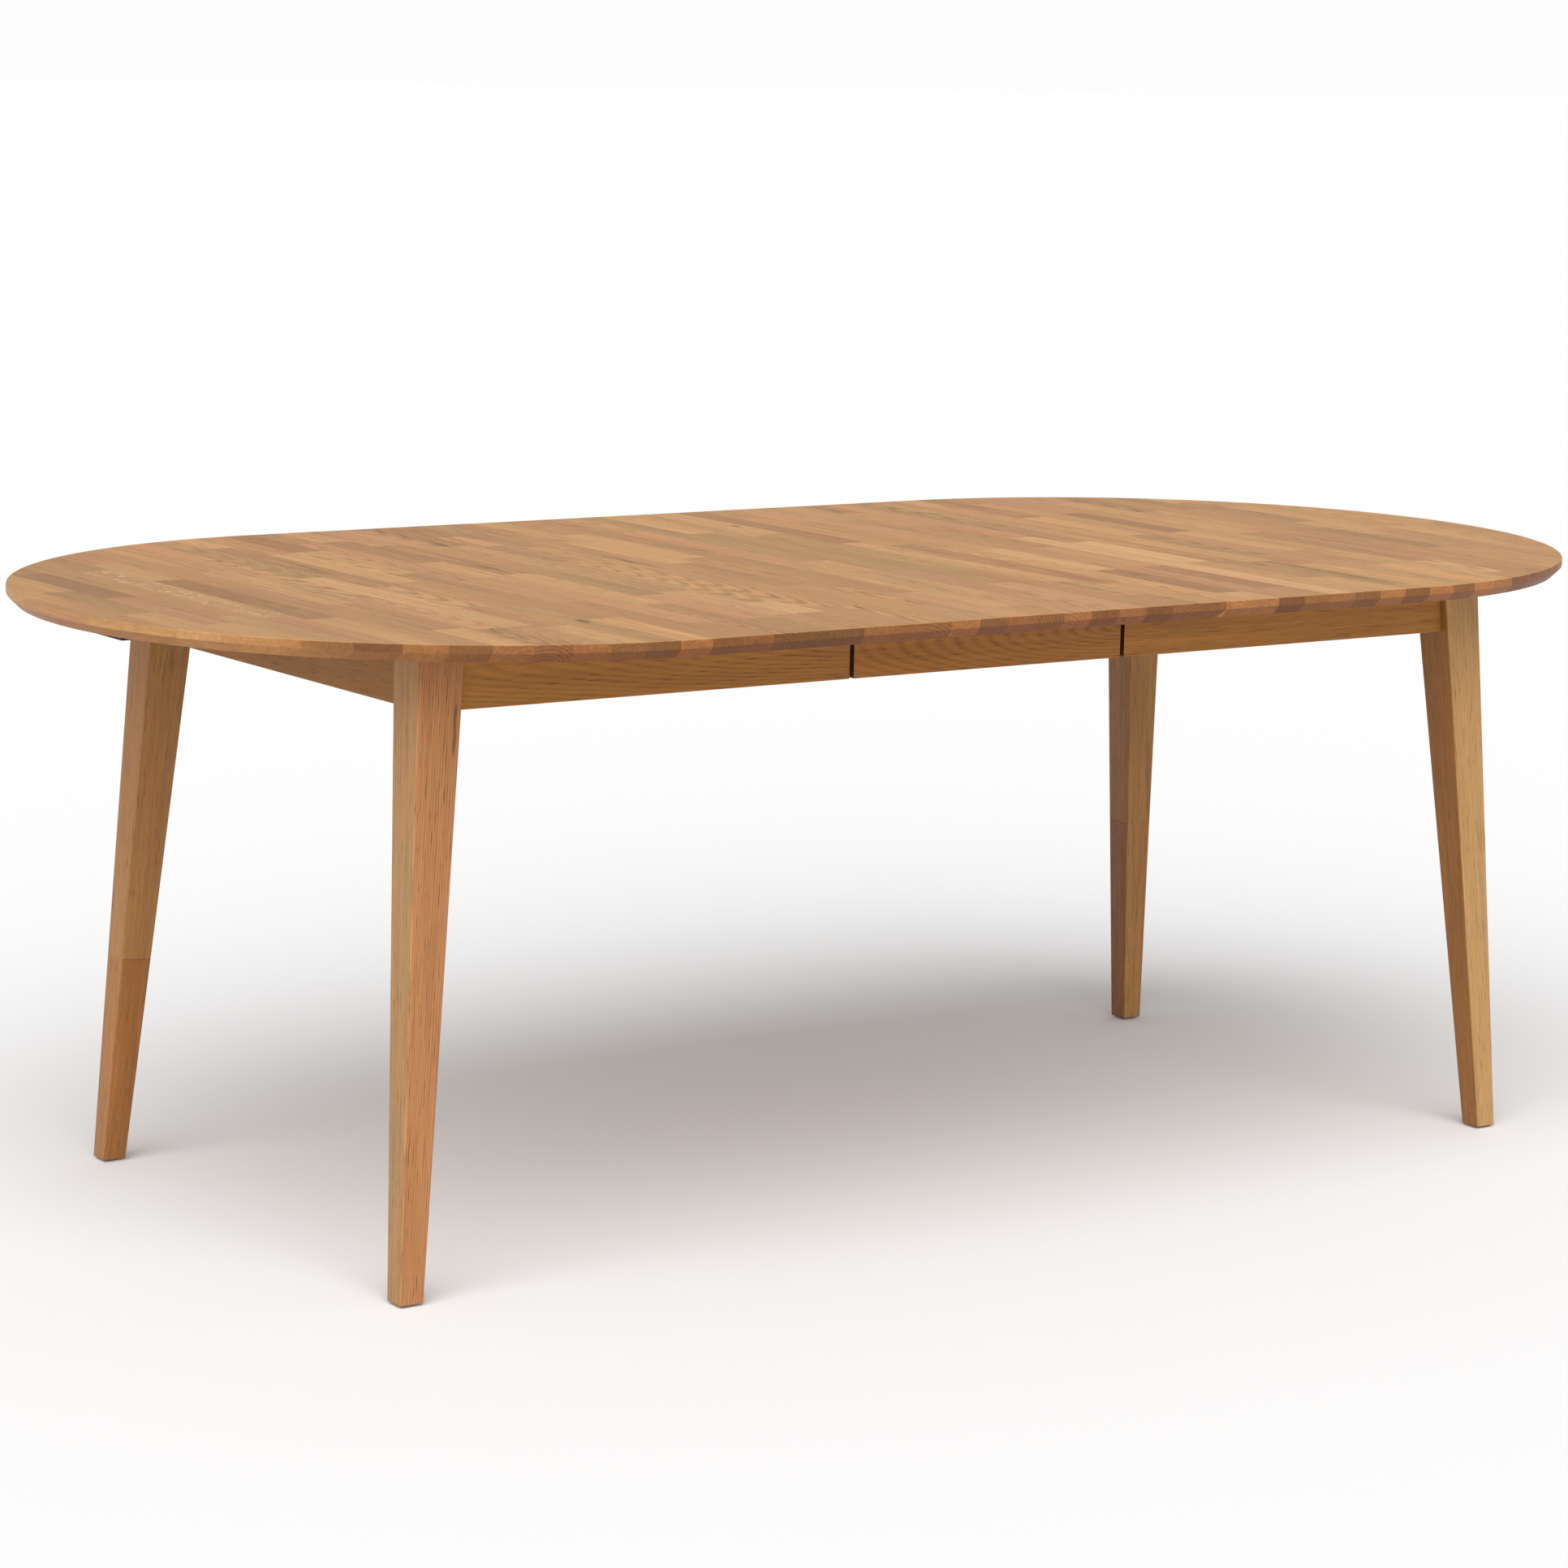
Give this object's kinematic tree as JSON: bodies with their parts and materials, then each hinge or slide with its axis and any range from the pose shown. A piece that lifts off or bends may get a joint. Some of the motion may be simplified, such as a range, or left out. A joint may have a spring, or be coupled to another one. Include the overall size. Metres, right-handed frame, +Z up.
{
  "type": "extendable dining table",
  "caption": "Extendable dining table with half-round ends, splayed tapered legs, and a loose leaf in place on wooden telescopic runners.",
  "frame": {"origin": "on the floor, under the middle of the leaf", "axes": "+X along the table from the fixed left half to the sliding right half, +Y from the front to the rear, +Z up"},
  "size_m": [2.12, 1.07, 0.75],
  "materials": {
    "oak_top": "oiled, glued staves that run across the table",
    "oak_frame": "oiled oak",
    "inner_wood": "plain sanded hardwood",
    "stained_wood": "dark red-brown stain",
    "zinc_steel": "zinc plated",
    "beech_pin": "turned beech",
    "grey_plastic": "moulded"
  },
  "bodies": {
    "left_half": {"half_top_left": "oak_top", "alignment_pin_front_left": "beech_pin", "alignment_pin_rear_left": "beech_pin", "leg_front_left": "oak_frame", "leg_rear_left": "oak_frame", "foot_glide_front_left": "grey_plastic", "foot_glide_rear_left": "grey_plastic", "side_apron_front_left": "oak_frame", "side_apron_rear_left": "oak_frame", "apron_cleat_front_left": "inner_wood", "apron_cleat_rear_left": "inner_wood", "end_apron_left": "oak_frame", "corner_brace_front_left": "inner_wood", "corner_brace_rear_left": "inner_wood", "hanger_bolt_front_left": "zinc_steel", "hanger_bolt_rear_left": "zinc_steel", "leg_nut_front_left": "zinc_steel", "leg_nut_rear_left": "zinc_steel", "support_batten_left": "stained_wood", "runner_left_front": "stained_wood", "runner_left_rear": "stained_wood", "stop_plate_left_front": "zinc_steel", "stop_plate_left_rear": "zinc_steel"},
    "right_half": {"half_top_right": "oak_top", "alignment_pin_front_right": "beech_pin", "alignment_pin_rear_right": "beech_pin", "leg_front_right": "oak_frame", "leg_rear_right": "oak_frame", "foot_glide_front_right": "grey_plastic", "foot_glide_rear_right": "grey_plastic", "side_apron_front_right": "oak_frame", "side_apron_rear_right": "oak_frame", "apron_cleat_front_right": "inner_wood", "apron_cleat_rear_right": "inner_wood", "end_apron_right": "oak_frame", "corner_brace_front_right": "inner_wood", "corner_brace_rear_right": "inner_wood", "hanger_bolt_front_right": "zinc_steel", "hanger_bolt_rear_right": "zinc_steel", "leg_nut_front_right": "zinc_steel", "leg_nut_rear_right": "zinc_steel", "support_batten_right": "stained_wood", "runner_right_front": "stained_wood", "runner_right_rear": "stained_wood", "stop_plate_right_front": "zinc_steel", "stop_plate_right_rear": "zinc_steel"},
    "runner_centre": {"runner_centre_front": "stained_wood", "runner_centre_rear": "stained_wood", "stop_pin_left_front": "zinc_steel", "stop_pin_right_front": "zinc_steel", "stop_pin_left_rear": "zinc_steel", "stop_pin_right_rear": "zinc_steel"},
    "leaf": {"extension_leaf": "oak_top", "leaf_apron_front": "oak_frame", "leaf_apron_rear": "oak_frame", "leaf_cleat_front": "inner_wood", "leaf_cleat_rear": "inner_wood"}
  },
  "joints": [
    {"name": "right_half_slide", "type": "slide", "parent": "left_half", "child": "right_half", "axis": [1, 0, 0], "range_m": [0, 0.08]},
    {"name": "runner_centre_slide", "type": "slide", "parent": "left_half", "child": "runner_centre", "axis": [1, 0, 0], "range_m": [0, 0.04]},
    {"name": "leaf_lift", "type": "slide", "parent": "runner_centre", "child": "leaf", "axis": [0, 0, 1], "range_m": [0, 0.15]}
  ],
  "couplings": [
    {"joint": "runner_centre_slide", "follows": "right_half_slide", "ratio": 0.5}
  ]
}
